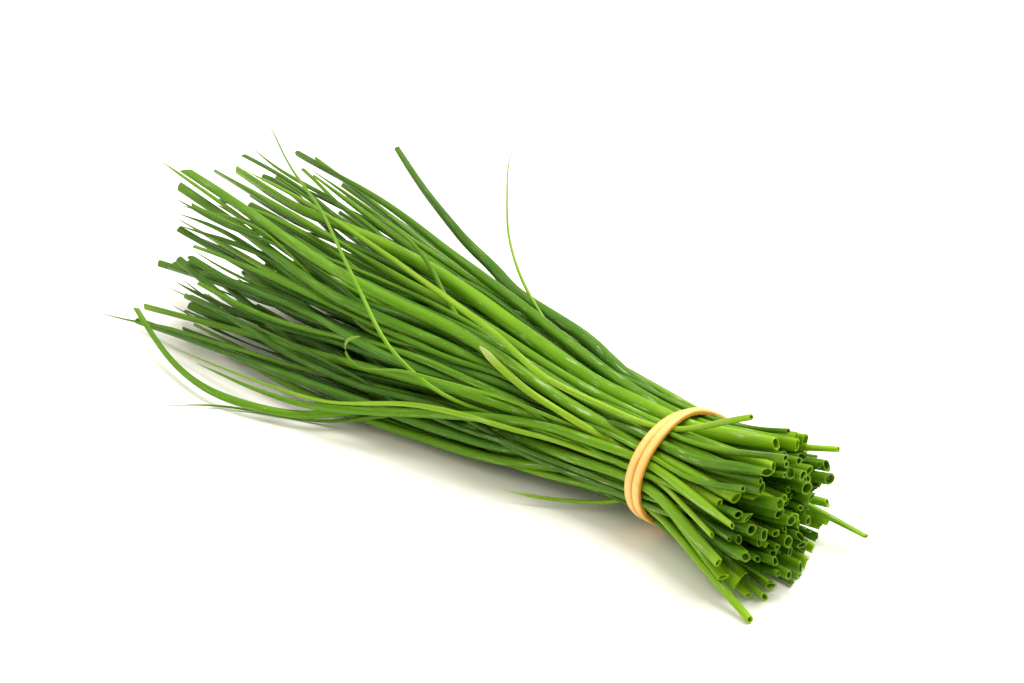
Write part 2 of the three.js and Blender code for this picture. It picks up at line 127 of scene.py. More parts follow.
def leaf_line(middles, half_widths, rounding=30):
    """A leaf's middle line, from the tip to the cut end.

    It has arc length, middle, direction, side, top and half width. It is a smooth curve through the middles,
    and rounding is how often each point is moved halfway to its neighbours' middle, which straightens short
    bends. The side direction is level, at right angles to the leaf, and the top direction is at right angles
    to both.
    """
    chord = np.concatenate([[0], np.cumsum(np.linalg.norm(np.diff(middles, axis=0), axis=1))])
    values = np.column_stack([middles, half_widths])
    fine = smooth_through(chord, values, np.linspace(0, chord[-1], LINE_POINTS))
    for _ in range(rounding):
        fine[1:-1] = fine[1:-1] / 2 + (fine[:-2] + fine[2:]) / 4
    middle = fine[:, :3]
    arc = np.concatenate([[0], np.cumsum(np.linalg.norm(np.diff(middle, axis=0), axis=1))])
    direction = np.gradient(middle, arc, axis=0)
    direction /= np.linalg.norm(direction, axis=1)[:, None]
    side = np.cross([0, 0, 1], direction)
    side /= np.linalg.norm(side, axis=1)[:, None]
    top = np.cross(direction, side)
    half = fine[:, 3]
    return {"arc": arc, "middle": middle, "direction": direction, "side": side, "top": top, "half": half}


def carry(line, along, across, up):
    """Takes points of a straight leaf to their places on the bent one.

    A point goes to the middle line's point at its arc length, plus across times the side direction, plus up
    times the top direction. Past an end the line runs on straight.
    """
    at = np.clip(along, 0, line["arc"][-1])

    def look_up(name):
        return np.stack([np.interp(at, line["arc"], column) for column in line[name].T], -1)

    place = look_up("middle") + look_up("direction") * (along - at)[..., None]
    return place + look_up("side") * across[..., None] + look_up("top") * up[..., None]


lines = {node: leaf_line(*solid_rings(node)) for node in leaf_nodes}

# The lifted end rises as soon as it is past the band. Without the rings beside the band, counted from the
# cut end, its line rises evenly from there.
RINGS_BY_BAND = [-3, -2]
middles, half_widths = solid_rings("leaf_lifted_end")
middles, half_widths = np.delete(middles, RINGS_BY_BAND, 0), np.delete(half_widths, RINGS_BY_BAND)
lines["leaf_lifted_end"] = leaf_line(middles, half_widths)

# The curled tip turns up and back over itself, which its solid leaves off: how far each point of the curl
# lies from the solid's tip, along the bunch and up, from the very tip on.
CURL = np.array([(1.6, 8.2), (-1.7, 6.6), (-4.2, 4.4), (-4.2, 1.7)])
CURL_HALF_WIDTHS = (0.3, 0.5, 0.55, 0.6)
middles, half_widths = solid_rings("leaf_curled_tip")
curled = middles[0] + np.column_stack([CURL[:, 0], np.zeros(len(CURL)), CURL[:, 1]])
lines["leaf_curled_tip"] = leaf_line(
    np.concatenate([curled, middles]), np.concatenate([CURL_HALF_WIDTHS, half_widths]), rounding=12
)

# ======================================================================================================
# The shape of a leaf
# A leaf is hollow, with a wall that a fingernail can press in. It is nearly round where it is free, a little
# flat where its neighbours press it, and it was cut with a knife at one end or at both.
# ======================================================================================================

ROWS = 92  # along the outside of a leaf
AROUND = 18  # points round a leaf
EVEN = 0.12  # share of the rows' spacing that is even
WALL = 0.34  # thickness
THICKEST_WALL = 0.4  # share of a thin leaf's half width that its wall may take up
RIM_INSET = np.array([0.22, 0.7, 1.0])  # share of the wall at which each ring over the rim lies, going in
RIM_OUT = np.array([0.05, 0.05, -0.03])  # how far past the cut each of those rings lies
RIM_INSIDE = np.array([0.4, 0.7, 0.85])  # how much each of them belongs to the inside
BORE = np.array([0.0, 0.5, 1.4, 3.0, 5.5, 8.0])  # how far inside each ring of the deepest bore is
BORE_END = 0.9  # share of the half width at which the last ring closes the bore
POINT_LENGTH = 11.0  # over which a grown tip narrows to a point
NARROWING = (60, 170)  # between these distances from the cut end a leaf narrows to its tip's share
# How uneven a leaf's width, flatness and lobes are, and how long the waves of that are at least.
UNEVEN = {"width": 0.045, "width_waves": 18, "flat": 0.6, "flat_waves": 30, "lobes": 0.025, "lobe_waves": 40}
CUT_SQUASH_REACH, TIP_SQUASH_REACH = 8, 12  # how far from the ends the press of knife and board is felt
RAGGED = {3: 0.1, 7: 0.06}  # how many waves the knife leaves round the end, and how deep they are
RAGGED_REACH = 3.5  # how far from an end its slant and waves die away
TABLE_GAP = 0.02  # the lowest that a leaf's skin reaches

angle = 2 * np.pi * np.arange(AROUND) / AROUND


def ease(value, low, high):
    """0 below low, 1 above high, and a smooth S between."""
    t = np.clip((value - low) / (high - low), 0, 1)
    return t * t * (3 - 2 * t)


def wander(places, spacing, dice, waves=4):
    """A smooth random curve between about -1 and 1: a few sine waves, each about spacing long or more."""
    pitch = 2 * np.pi / (spacing * dice.uniform(1, 3, waves))
    phase = dice.uniform(0, 2 * np.pi, waves)
    return np.sin(np.multiply.outer(places, pitch) + phase).sum(-1) / waves * 1.4


def leaf_grid(line, dice, form):
    """The rows of a leaf's skin, from one end to the other, as straight places and whether they are inside.

    Each row is a ring at its arc length with its own inset, which is 0 on the outside and the wall's
    thickness inside the bore. The rows outside lie closer together towards both ends, by a smooth S. A ring
    is an oval: across is (1 + 0.45 f) cos, and up is (1 - f) sin, times the half width, where f is how flat
    it is there. That is an even share, and a bell curve at each end and wherever the leaf is pressed. The
    oval turns slowly along the leaf, and has three faint lobes. The half width wanders a little, falls off
    smoothly towards the tip, and at a grown tip is times 0.2 + 0.8 (distance / point length)^0.7.
    """
    length = line["arc"][-1]
    t = np.linspace(0, 1, ROWS)
    outside = length * (EVEN * t + (1 - EVEN) * t * t * (3 - 2 * t))
    # Past the cut end: over the rim and down the bore.
    wall = min(WALL, THICKEST_WALL * line["half"][-1])
    bore = form["bore"] * BORE
    along = np.concatenate([outside, length + RIM_OUT, length - bore[1:], [length - bore[-1]]])
    bore_inset = [np.full(len(bore) - 1, wall), [BORE_END * line["half"][-1]]]
    inset = np.concatenate([np.zeros(ROWS), wall * RIM_INSET, *bore_inset])
    inner = np.concatenate([np.zeros(ROWS), RIM_INSIDE, np.ones(len(bore))])
    if form["trimmed"]:  # the same at the tip, the other way round
        tip_wall = min(wall, THICKEST_WALL * line["half"][0])
        along = np.concatenate([[bore[-1]], bore[:0:-1], -RIM_OUT[::-1], along])
        bore_inset = [[BORE_END * line["half"][0]], np.full(len(bore) - 1, tip_wall)]
        inset = np.concatenate([*bore_inset, tip_wall * RIM_INSET[::-1], inset])
        inner = np.concatenate([np.ones(len(bore)), RIM_INSIDE[::-1], inner])
    # How thick and how flat each row is.
    half = form["slim"] * np.interp(along, line["arc"], line["half"])
    half *= 1 - (1 - form["tip_share"]) * ease(length - along, *NARROWING)
    half *= 1 + UNEVEN["width"] * wander(along, UNEVEN["width_waves"], dice)
    if not form["trimmed"]:
        half *= 0.2 + 0.8 * np.clip(along / form["point"], 0, 1) ** 0.7
    from_cut = np.abs(length - along)
    flat = form["flat"] * (1 + UNEVEN["flat"] * wander(along, UNEVEN["flat_waves"], dice))
    flat += form["cut_squash"] * np.exp(-((from_cut / CUT_SQUASH_REACH) ** 2))
    flat += form["tip_squash"] * np.exp(-((along / TIP_SQUASH_REACH) ** 2))
    for middle, reach, amount in form["presses"]:
        flat += amount * np.exp(-(((along - middle) / reach) ** 2))
    flat = np.clip(flat, 0, 0.8)[:, None]
    # The ovals.
    turn = (form["turn"] + form["twist"] * along / length)[:, None]
    swell = 1 + wander(along, UNEVEN["lobe_waves"], dice)[:, None]
    lobes = 1 + UNEVEN["lobes"] * np.cos(3 * angle + form["turn"]) * swell
    size = (half - inset)[:, None] * lobes
    wide = (1 + 0.45 * flat) * np.cos(angle) * size
    tall = (1 - flat) * np.sin(angle) * size
    across = wide * np.cos(turn) - tall * np.sin(turn)
    up = wide * np.sin(turn) + tall * np.cos(turn)
    # The knife leaves the end slanting, as a cosine round it, and ragged, as two finer waves.
    slant = form["slant"] * np.cos(angle - form["slant_turn"]) * line["half"][-1]
    ragged = sum(deep * np.sin(count * angle + dice.uniform(0, 6)) for count, deep in RAGGED.items())
    near_cut = ease(along, length - RAGGED_REACH, length - 0.3)[:, None]
    shift = (slant + ragged * form["ragged"]) * near_cut
    if form["trimmed"]:
        tip_slant = form["tip_slant"] * np.cos(angle - form["turn"]) * line["half"][0]
        shift = shift + tip_slant * ease(-along, -RAGGED_REACH, 0)[:, None]
    return along[:, None] + shift, across, up, inner


def skin_mesh(name, line, dice, form):
    """The mesh of a leaf. Its rows are joined by four-cornered faces, and each end is closed by a fan.

    It carries what the skin's colour follows: vein is the place on a straight leaf of even width, ends is
    how far the cut end and the tip are and whether the place is inside, tone is the leaf's own shade, with
    painted shade added on the low heart leaves, and the last is how wet and dark its foot is, which deep in
    the bunch is painted shade as well as moisture.
    """
    along, across, up, inner = leaf_grid(line, dice, form)
    rows = len(along)
    places = carry(line, along, across, up)
    places[..., 2] = np.maximum(places[..., 2], TABLE_GAP)
    low, high = places[0].mean(0), places[-1].mean(0)
    vertices = np.concatenate([places.reshape(-1, 3), [low, high]]) * MM
    row, column = np.meshgrid(np.arange(rows - 1) * AROUND, np.arange(AROUND), indexing="ij")
    beside = (column + 1) % AROUND
    quads = np.stack([row + column, row + beside, row + AROUND + beside, row + AROUND + column], -1)
    first, last, last_row = rows * AROUND, rows * AROUND + 1, (rows - 1) * AROUND
    fans = [np.column_stack([np.full(AROUND, first), beside[0], column[0]])]
    fans.append(np.column_stack([np.full(AROUND, last), column[0] + last_row, beside[0] + last_row]))
    mesh = bpy.data.meshes.new(name)
    mesh.from_pydata(vertices.tolist(), [], quads.reshape(-1, 4).tolist() + np.concatenate(fans).tolist())
    mesh.polygons.foreach_set("use_smooth", np.ones(len(mesh.polygons), bool))
    offset = dice.uniform(0, 400, 2)
    wide = np.broadcast_to(np.cos(angle), along.shape) + offset[0]
    tall = np.broadcast_to(np.sin(angle), along.shape) + offset[1]
    vein = np.stack([wide, tall, along], -1).reshape(-1, 3)
    length = line["arc"][-1]
    ends = np.stack([np.abs(length - along), along, np.broadcast_to(inner[:, None], along.shape)], -1)
    ends = ends.reshape(-1, 3)
    for attribute, values in (("vein", vein), ("ends", ends)):
        values = np.concatenate([values, values[[0, -1]]])
        mesh.attributes.new(attribute, "FLOAT_VECTOR", "POINT").data.foreach_set("vector", values.ravel())
    for attribute in ("tone", "moist_shade"):
        values = np.full(len(mesh.vertices), form[attribute])
        mesh.attributes.new(attribute, "FLOAT", "POINT").data.foreach_set("value", values)
    mesh.update()
    return mesh


def common_form(line, dice):
    """What a leaf looks like unless it is told otherwise, drawn at random in a fixed order."""
    squashed = dice.uniform()
    return {
        "trimmed": line["half"][0] > 0.45 * line["half"].max(),  # cut at the tip as well
        "point": POINT_LENGTH * dice.uniform(0.7, 1.3),
        "flat": dice.uniform(0.02, 0.09),
        "turn": dice.uniform(0, 2 * np.pi),  # which way the oval lies at the tip
        "twist": dice.uniform(-1.2, 1.2),  # and how far it turns up to the cut end
        "cut_squash": 0.35 * ease(squashed, 0.7, 1) + 0.35 * ease(squashed, 0.15, 0.7),
        "tip_squash": dice.uniform(0.1, 0.75),
        "slant": dice.uniform(0, 0.35),
        "slant_turn": dice.uniform(0, 2 * np.pi),
        "tip_slant": dice.uniform(-1.6, 1.6),
        "ragged": dice.uniform(0.3, 1.2),
        "slim": dice.uniform(0.86, 1.0),  # share of the line's width that the leaf has
        "tip_share": dice.uniform(0.7, 1.0),  # and what is left of that towards the tip
        "presses": [(dice.uniform(10, 70), dice.uniform(6, 16), dice.uniform(0, 0.4)) for _ in range(2)],
        "tone": dice.uniform(-1, 1),
        "bore": dice.choice([0.12, 0.3, 1.0]),  # share of the deepest bore: a cut presses many ends shut
    }


# ======================================================================================================
# The skin of a leaf
# The skin is smooth and green, with fine lines along it, a thin pale bloom of wax that rubs off in streaks,
# and a paler, yellower foot. The cut edge is moist and bright, and the inside is a lighter, wetter green.
# Shade is painted in towards the tip, down the bore, and on the feet and the low leaves deep in the bunch.
# ======================================================================================================


def node(tree, kind, inputs=(), **settings):
    """Adds a shader node with its settings, fills its inputs with values or links, and gives its outputs."""
    made = tree.nodes.new(kind)
    for name, value in settings.items():
        setattr(made, name, value)
    for socket, value in dict(inputs).items():
        if isinstance(value, bpy.types.NodeSocket):
            tree.links.new(value, made.inputs[socket])
        else:
            made.inputs[socket].default_value = value
    return made.outputs


def calculate(tree, operation, *values):
    """The result of a math node."""
    return node(tree, "ShaderNodeMath", enumerate(values), operation=operation)[0]


def mix(tree, factor, a, b):
    """Colour a where factor is 0, b where it is 1, and a blend between."""
    return node(tree, "ShaderNodeMix", {0: factor, 6: a, 7: b}, data_type="RGBA")[2]


def between(tree, value, low, high, low_out=0.0, high_out=1.0):
    """A smooth step: low_out where value is at low, and high_out where it is at high."""
    steps = {0: value, 1: low, 2: high, 3: low_out, 4: high_out}
    return node(tree, "ShaderNodeMapRange", steps, interpolation_type="SMOOTHSTEP")[0]


def stretched_noise(tree, place, stretch, detail=2.0, roughness=0.5):
    """Noise whose grains are 1/stretch long along each of the three directions of place."""
    scaled = node(tree, "ShaderNodeVectorMath", {0: place, 1: stretch}, operation="MULTIPLY")[0]
    inputs = {"Vector": scaled, "Scale": 1.0, "Detail": detail, "Roughness": roughness}
    return node(tree, "ShaderNodeTexNoise", inputs)[0]


def new_group(name, inputs, outputs):
    """An empty shader node group. Inputs and outputs are (name, kind, value) and (name, kind)."""
    group = bpy.data.node_groups.new(name, "ShaderNodeTree")
    for title, kind, value in inputs:
        group.interface.new_socket(title, in_out="INPUT", socket_type=kind).default_value = value
    for title, kind in outputs:
        group.interface.new_socket(title, in_out="OUTPUT", socket_type=kind)
    return group, group.nodes.new("NodeGroupInput").outputs, group.nodes.new("NodeGroupOutput").inputs


COLOUR, NUMBER = "NodeSocketColor", "NodeSocketFloat"
BLOOM_COLOUR = (0.30, 0.54, 0.09, 1)
SCUFF_COLOUR = (0.70, 0.82, 0.50, 1)
RIM_COLOUR = (0.25, 0.47, 0.004, 1)
INSIDE_COLOUR = (0.25, 0.47, 0.006, 1)
BORE_SHADE_COLOUR = (0.012, 0.060, 0.001, 1)
MOIST_SHADE_COLOUR = (0.026, 0.108, 0.002, 1)


def leaf_skin_group():
    """The colour, roughness and height of a leaf's skin, from its vein, ends, tone and moist attributes."""
    inputs = [("Skin", COLOUR, (0.1, 0.3, 0.03, 1)), ("Shade", COLOUR, (0.05, 0.2, 0.02, 1))]
    inputs += [("Foot", COLOUR, (0.2, 0.45, 0.04, 1)), ("Tip", COLOUR, (0.2, 0.3, 0.03, 1))]
    inputs += [("Bloom", NUMBER, 0.5), ("Scuffs", NUMBER, 0.5)]
    outputs = [("Color", COLOUR), ("Roughness", NUMBER), ("Height", NUMBER)]
    tree, given, result = new_group("leaf skin", inputs, outputs)
    vein = node(tree, "ShaderNodeAttribute", attribute_name="vein")["Vector"]
    ends = node(tree, "ShaderNodeAttribute", attribute_name="ends")["Vector"]
    tone = node(tree, "ShaderNodeAttribute", attribute_name="tone")["Fac"]
    moist_shade = node(tree, "ShaderNodeAttribute", attribute_name="moist_shade")["Fac"]
    from_cut, from_tip, inside = node(tree, "ShaderNodeSeparateXYZ", {0: ends})

    # Lighter and darker stretches, and paler towards the foot. Towards the tip the skin darkens: painted
    # shade.
    patches = stretched_noise(tree, vein, (0.6, 0.6, 0.035))
    shade = calculate(tree, "MULTIPLY_ADD", tone, 0.24, patches)
    colour = mix(tree, between(tree, shade, 0.3, 0.72), given["Shade"], given["Skin"])
    far_end_shade = between(tree, from_tip, 5, 90, 0.5, 0.0)
    colour = mix(tree, far_end_shade, colour, given["Shade"])
    foot = between(tree, from_cut, 4, 60, 0.75, 0.0)
    colour = mix(tree, foot, colour, given["Foot"])

    # Fine darker lines along the leaf.
    lines = stretched_noise(tree, vein, (4.5, 4.5, 0.012), detail=3.0, roughness=0.6)
    darker = mix(tree, 0.45, colour, (0.02, 0.08, 0.002, 1))
    colour = mix(tree, between(tree, lines, 0.62, 0.36, 0.0, 0.42), colour, darker)

    # The bloom, scuffed off in pale streaks where hands have held the bunch, and a few specks.
    bloom = between(tree, stretched_noise(tree, vein, (1.1, 1.1, 0.09)), 0.44, 0.72)
    bloom = calculate(tree, "MULTIPLY", bloom, given["Bloom"])
    colour = mix(tree, calculate(tree, "MULTIPLY", bloom, 0.22), colour, BLOOM_COLOUR)
    streaks = stretched_noise(tree, vein, (1.9, 1.9, 0.13), detail=4.0, roughness=0.68)
    streaks = calculate(tree, "MULTIPLY", between(tree, streaks, 0.57, 0.67), given["Scuffs"])
    handled = between(tree, from_cut, 45, 100, 1.0, 0.25)
    streaks = calculate(tree, "MULTIPLY", streaks, handled)
    colour = mix(tree, calculate(tree, "MULTIPLY", streaks, 0.9), colour, SCUFF_COLOUR)
    specks = between(tree, stretched_noise(tree, vein, (3.0, 3.0, 0.6), detail=1.0), 0.74, 0.8)
    colour = mix(tree, calculate(tree, "MULTIPLY", specks, 0.3), colour, SCUFF_COLOUR)

    # The foot, dark where it is wet, which on the leaves deep in the bunch is painted shade too, and bruised
    # beside the cut where it is dry and out of that shade, and the withered tip.
    wet_shade = calculate(tree, "MULTIPLY", between(tree, from_cut, 3, 30, 1.0, 0.0), moist_shade)
    colour = mix(tree, calculate(tree, "MULTIPLY", wet_shade, 0.85), colour, MOIST_SHADE_COLOUR)
    dry_unshaded = calculate(tree, "SUBTRACT", 1.0, calculate(tree, "MULTIPLY", moist_shade, 0.8))
    bruised = calculate(tree, "MULTIPLY", between(tree, from_cut, 0.3, 4.5, 0.75, 0.0), dry_unshaded)
    colour = mix(tree, bruised, colour, RIM_COLOUR)
    withered = between(tree, from_tip, 0.5, 9, 0.6, 0.0)
    colour = mix(tree, withered, colour, given["Tip"])

    # The cut rim, and the lining of the bore, which darkens inwards: painted shade down the bore, darker
    # still on the feet deep in the bunch.
    edge = calculate(tree, "MULTIPLY", between(tree, inside, 0.15, 0.4, 0.0, 0.3), dry_unshaded)
    colour = mix(tree, edge, colour, RIM_COLOUR)
    lining = mix(tree, between(tree, from_cut, 0.0, 4.5), INSIDE_COLOUR, BORE_SHADE_COLOUR)
    lining = mix(tree, calculate(tree, "MULTIPLY", moist_shade, 0.85), lining, MOIST_SHADE_COLOUR)
    colour = mix(tree, between(tree, inside, 0.72, 0.98), colour, lining)

    roughness = calculate(tree, "MULTIPLY_ADD", bloom, 0.16, 0.3)
    roughness = calculate(tree, "MULTIPLY_ADD", streaks, 0.2, roughness)
    height = calculate(tree, "MULTIPLY_ADD", streaks, 0.4, calculate(tree, "MULTIPLY", lines, 0.8))
    for socket, value in ((0, colour), (1, roughness), (2, height)):
        tree.links.new(value, result[socket])
    return tree


leaf_skin = leaf_skin_group()

# The greens of the four kinds of leaf: in full, in its darker stretches, at its foot and at its tip.
GREENS = {
    "leaf_deep_green": {
        "Skin": (0.058, 0.185, 0.012),
        "Shade": (0.026, 0.105, 0.006),
        "Foot": (0.140, 0.330, 0.006),
        "Tip": (0.06, 0.16, 0.010),
    },
    "leaf_mid_green": {
        "Skin": (0.110, 0.275, 0.006),
        "Shade": (0.056, 0.175, 0.004),
        "Foot": (0.215, 0.450, 0.008),
        "Tip": (0.12, 0.25, 0.012),
    },
    "leaf_bright_green": {
        "Skin": (0.170, 0.380, 0.006),
        "Shade": (0.092, 0.250, 0.004),
        "Foot": (0.285, 0.540, 0.014),
        "Tip": (0.20, 0.36, 0.02),
    },
    "leaf_pale_green": {
        "Skin": (0.300, 0.500, 0.026),
        "Shade": (0.185, 0.370, 0.010),
        "Foot": (0.320, 0.540, 0.030),
        "Tip": (0.58, 0.62, 0.30),
    },
}


def leaf_material(slot):
    """The glossy skin of one kind of leaf, with its own greens."""
    material = bpy.data.materials.new(slot)
    material.use_nodes = True
    tree = material.node_tree
    shader = tree.nodes["Principled BSDF"]
    skin = tree.nodes.new("ShaderNodeGroup")
    skin.node_tree = leaf_skin
    for name, value in GREENS[slot].items():
        skin.inputs[name].default_value = (*value, 1)
    relief = {"Strength": 0.5, "Distance": 0.1 * MM, "Height": skin.outputs["Height"]}
    bump = node(tree, "ShaderNodeBump", relief)
    tree.links.new(skin.outputs["Color"], shader.inputs["Base Color"])
    tree.links.new(skin.outputs["Roughness"], shader.inputs["Roughness"])
    tree.links.new(bump[0], shader.inputs["Normal"])
    shader.inputs["Specular IOR Level"].default_value = 0.42
    shader.inputs["Specular Tint"].default_value = (0.8, 1.0, 0.3, 1)
    return material


leaf_materials = {slot: leaf_material(slot) for slot in GREENS}


def grow_leaf(name, line, slot, dice, form, node_name=None):
    """Makes a leaf's piece, gives it its skin, and hides the CAD node it stands for, if any."""
    piece = bpy.data.objects.new(name, skin_mesh(name, line, dice, form))
    bpy.context.scene.collection.objects.link(piece)
    piece.data.materials.append(leaf_materials[slot])
    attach(piece, "root")
    if node_name:
        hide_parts(node_name)


# ======================================================================================================
# The leaves that the frame has
# Fifty-nine leaves: those that can be told apart from outside, and some of those in the cut face. They were
# cut in one go, and nothing but the band holds them. Inside the bunch their feet are darker: moist, and
# painted shade deep in the cut face.
# ======================================================================================================

OWN_FORMS = {
    "leaf_crossing": {"slim": 0.72},
    "leaf_near_yellow": {"slim": 0.8, "tip_share": 0.7},
    "leaf_near_bright": {"slim": 0.95, "tip_share": 0.5},
    "leaf_arched": {"slim": 0.84, "tip_share": 0.8},
    "leaf_wisp_back": {"slim": 0.7, "tone": -1.0},
    "leaf_curled_tip": {"trimmed": False, "point": 4.0},
    "leaf_lifted_end": {"slim": 1.1, "cut_squash": 0.0, "flat": 0.0, "presses": []},
    "leaf_thickest": {"slim": 0.98, "cut_squash": 0.1},
    "leaf_flared_tip": {"presses": [(4, 6, 0.45), (16, 7, 0.5)], "twist": 3.0},
    "leaf_pale_end": {"trimmed": False, "point": 3.5},
    "leaf_upper_7": {"presses": [(14, 26, 0.42)], "turn": 0.3, "twist": 0.3},
}

MOIST_SHADE_OUTSIDE, MOIST_SHADE_INSIDE = (0, 0.3), (0.7, 1.0)  # how moist and shaded a leaf's foot is, at least and at most: the darker feet inside are painted shade too

slot_of = {part["node"]: part["material_slot"] for part in frame["record"]["subparts"]}
for index, name in enumerate(leaf_nodes):
    dice = np.random.default_rng(100 + index)
    form = common_form(lines[name], dice)
    form["moist_shade"] = dice.uniform(*(MOIST_SHADE_INSIDE if name.startswith("leaf_inner") else MOIST_SHADE_OUTSIDE))
    form.update(OWN_FORMS.get(name, {}))
    grow_leaf(name + "_skin", lines[name], slot_of[name], dice, form, node_name=name)

# ======================================================================================================
# The leaves in the heart of the bunch
# They are the same hollow leaves, and fill what the others leave free. Under the band each takes the widest
# gap that is left, and from there it runs out both ways with its neighbours, pushed aside by them.
# ======================================================================================================

HEART_LEAVES = 70
HEART_GAP = 0.05  # between leaves that are pushed apart
HEART_STRAY, STRAY_WAVES = 3.0, 60  # how far a heart leaf wanders from its even course, and how slowly
HEART_HALF = (0.5, 1.1)  # a heart leaf's least and greatest half width under the band
WIDEST_HALF = 1.45  # its greatest half width anywhere
PINCH = 0.22  # share of its width that the band squeezes out
PINCH_REACH = (15, 40)  # how far that is felt past the band and towards the tips
INSIDE_BAND = (14.8, 11.8)  # half width and half height of the room inside the band
BAND_THICKNESS = 1.3
BAND_GAP = 0.2  # between the band and the leaves
STATION = 5.0  # between the places along the bunch at which leaves are laid out
AT_TIPS, AT_BAND, AT_CUT = 8, 38, 44  # the stations near the tips, under the band and near the cut ends
STATIONS = 47

band_low, band_high = (np.array(corner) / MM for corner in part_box("rubber_band"))
band_x = (band_low[0] + band_high[0]) / 2
waist = band_low[1:] + np.array(INSIDE_BAND) + BAND_THICKNESS + BAND_GAP  # the band's middle, across and up
stations = band_x + STATION * (np.arange(STATIONS) - AT_BAND)


def at_stations(line):
    """A leaf's middle and half width where it passes each station, and nan where it doesn't reach."""
    x = line["middle"][:, 0]
    columns = (line["middle"][:, 1], line["middle"][:, 2], line["half"])
    return np.stack([np.interp(stations, x, column, left=np.nan, right=np.nan) for column in columns], -1)


framed = np.stack([at_stations(lines[name]) for name in leaf_nodes])  # leaf, station, (y, z, half width)

# Under the band: each next leaf takes the middle of the widest gap, looked for on a fine grid.
GRID_STEP = 0.2
grid = np.meshgrid(*(np.arange(-half, half, GRID_STEP) for half in INSIDE_BAND), indexing="ij")
grid = np.stack(grid, -1).reshape(-1, 2)
edge_room = (1 - np.hypot(*(grid / INSIDE_BAND).T)) * min(INSIDE_BAND)
taken = framed[:, AT_BAND]
taken = taken[~np.isnan(taken[:, 0])]
heart = []  # each leaf's y, z and half width under the band
for _ in range(HEART_LEAVES):
    apart = np.linalg.norm(grid[:, None] + waist - taken[None, :, :2], axis=-1) - taken[:, 2]
    room = np.minimum(apart.min(1), edge_room)
    best = room.argmax()
    half = np.clip(room[best], *HEART_HALF)
    heart.append([*(grid[best] + waist), half])
    taken = np.concatenate([taken, [heart[-1]]])
heart = np.array(heart)

# Along the bunch: a leaf keeps its share of the bunch's width and height, which grow out both ways from the
# band. They grow as sqrt(distance^2 + bend^2) - bend, so the leaves bend over a short way beside the band and
# then run straight. Towards the tips the bunch is fullest at FULLEST, by a bell curve.
BEND = (6, 30)  # past the band and towards the tips, as in the next two lines
WIDENING = (0.22, 0.16)
HEIGHTENING = (0.185, 0.043)
FULLEST = {"from_band": -60, "reach": 32, "wide": 3.0, "high": 1.0}

from_band = stations - band_x
bend = np.where(from_band > 0, *BEND)
opening = np.hypot(from_band, bend) - bend
fuller = np.exp(-(((from_band - FULLEST["from_band"]) / FULLEST["reach"]) ** 2))
wide = INSIDE_BAND[0] + np.where(from_band > 0, *WIDENING) * opening + FULLEST["wide"] * fuller
high = INSIDE_BAND[1] + np.where(from_band > 0, *HEIGHTENING) * opening + FULLEST["high"] * fuller
share = (heart[:, :2] - waist) / INSIDE_BAND
centre = np.stack([np.full_like(wide, waist[0]), np.maximum(high, waist[1])], -1)  # it rests on the table


def settled(across, up):
    """How far out a place is, from 0 in the middle to 1 at the edge of the bunch.

    Above the middle the edge is an oval, sqrt(across^2 + up^2) = 1. Below it the leaves lie in the corners
    beside the table too, and the edge is a rounded oblong, (across^4 + up^4)^(1/4) = 1.
    """
    return np.where(up < 0, (across**4 + up**4) ** 0.25, np.hypot(across, up))


# Where each leaf would lie if it were alone (home). The low ones spread into the corners (spread), and all
# stray a little. The band squeezes each, by a bell curve, and away from it the leaf has its full width.
spread = np.hypot(*share.T) / np.maximum(settled(*share.T), 0.01)
spread = 1 + (spread[:, None] - 1) * ease(-from_band, 10, 80)
home = centre + share[:, None] * spread[..., None] * np.stack([wide, high], -1)
dice = np.random.default_rng(8)
stray = np.array([[wander(from_band, STRAY_WAVES, dice, waves=3) for _ in range(2)] for _ in heart])
home += HEART_STRAY * stray.transpose(0, 2, 1) * ease(np.abs(from_band), 5, 80)[:, None]
reach = np.where(from_band > 0, *PINCH_REACH)
home_half = heart[:, 2:] / (1 - PINCH) * (1 - PINCH * np.exp(-((from_band / reach) ** 2)))
home_half = np.minimum(home_half, WIDEST_HALF)

# Again and again each leaf is pushed out of the frame's leaves, then out of the heart leaves, and back inside
# the bunch and onto the table. In between, what it has moved is evened out along it, less and less. The
# second push takes the heart leaves' places from before the first, so a leaf that the first one moved is
# pushed away from its own old place too.
ROUNDS = 160
PUSH = 0.35  # share of an overlap that one push takes away
EVENING = 0.5  # share of the way to its neighbours' middle that a place is evened out in the first round
spot = home.copy()
for round_number in range(ROUNDS):
    early = 1 - round_number / ROUNDS
    shift = spot - home
    even = shift.copy()
    even[:, 1:-1] = (shift[:, :-2] + shift[:, 2:]) / 2
    shift += EVENING * early * (even - shift)
    spot = home + shift
    for others, theirs in ((framed[..., :2], framed[..., 2]), (spot, home_half)):
        gap = spot[:, None] - others[None]
        apart = np.linalg.norm(gap, axis=-1) + 1e-6  # never 0, which the gap is divided by
        overlap = home_half[:, None] + theirs[None] + HEART_GAP - apart
        overlap = np.where(np.isnan(overlap) | (apart < 1e-5), 0, np.maximum(overlap, 0))
        push = np.nan_to_num(gap / apart[..., None]) * overlap[..., None]
        spot = spot + push.sum(1) * PUSH
    room = np.stack([wide, high], -1) - home_half[..., None]
    out = np.maximum(settled(*np.moveaxis((spot - centre) / room, -1, 0)), 1)
    spot = centre + (spot - centre) / out[..., None]
    spot[..., 1] = np.maximum(spot[..., 1], home_half)

